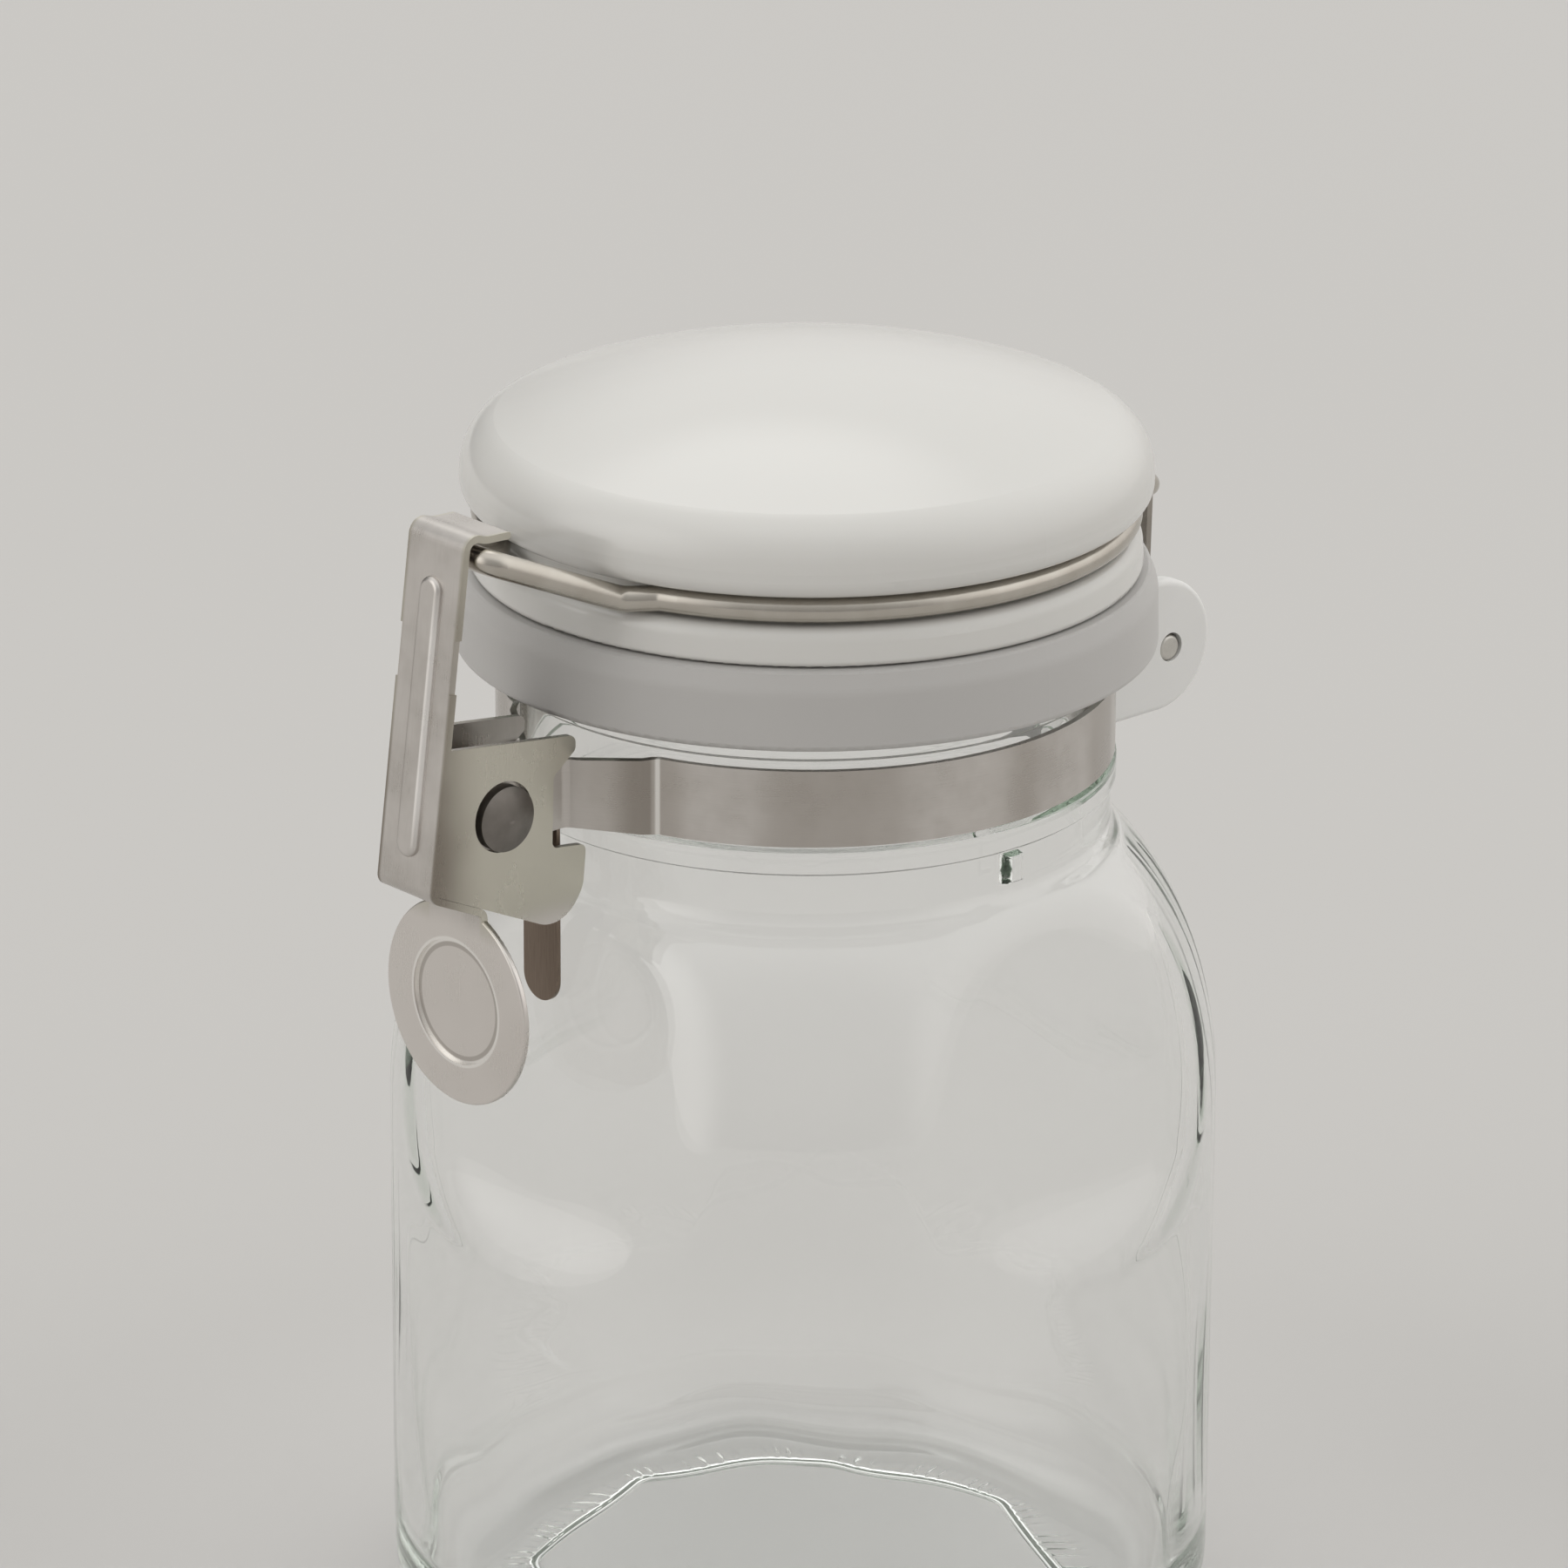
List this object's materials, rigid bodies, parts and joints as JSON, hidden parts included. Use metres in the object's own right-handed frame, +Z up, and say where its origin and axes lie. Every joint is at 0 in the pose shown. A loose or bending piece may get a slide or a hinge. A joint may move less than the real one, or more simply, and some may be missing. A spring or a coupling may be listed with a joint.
{
  "type": "lidded glass canister",
  "caption": "Round glass storage jar with a domed white lid on a rear hinge, sealed by a soft ring and shut by a one-push steel clasp that hooks over a wire ring.",
  "frame": {"origin": "middle of the jar's base, on the plane it stands on", "axes": "+Z up along the jar's axis, clasp at -Y, hinge at +Y, +X along the rivet and the hinge pin"},
  "size_m": [0.1094, 0.1348, 0.176],
  "materials": {
    "clear_glass": "clear, polished, faint green in thick sections",
    "satin_steel": "satin stainless sheet",
    "dark_steel": "dark pewter",
    "bright_wire": "drawn stainless wire",
    "white_gloss": "glossy warm white",
    "white_inner": "satin white",
    "pale_silicone": "soft matte, grey-white"
  },
  "bodies": {
    "jar": {"glass_jar": "clear_glass", "neck_band": "satin_steel", "clasp_rivet": "dark_steel", "rivet_bush": "satin_steel", "leaf_spring": "dark_steel", "hinge_block": "white_inner", "hinge_pin": "bright_wire"},
    "latch": {"latch_lever": "satin_steel"},
    "lid": {"lid_cover": "white_gloss", "lid_base": "white_inner", "gasket": "pale_silicone", "wire_ring": "bright_wire", "hinge_strap": "satin_steel"}
  },
  "joints": [
    {"name": "latch_pivot", "type": "hinge", "parent": "jar", "child": "latch", "pos_m": [0, -0.0559, 0.1283], "axis": [1, 0, 0], "range_deg": [0, 10], "stiffness_Nm_per_rad": 0.15, "springref_deg": -5.73},
    {"name": "lid_hinge", "type": "hinge", "parent": "jar", "child": "lid", "pos_m": [0, 0.0594, 0.1252], "axis": [-1, 0, 0], "range_deg": [0, 100]}
  ]
}
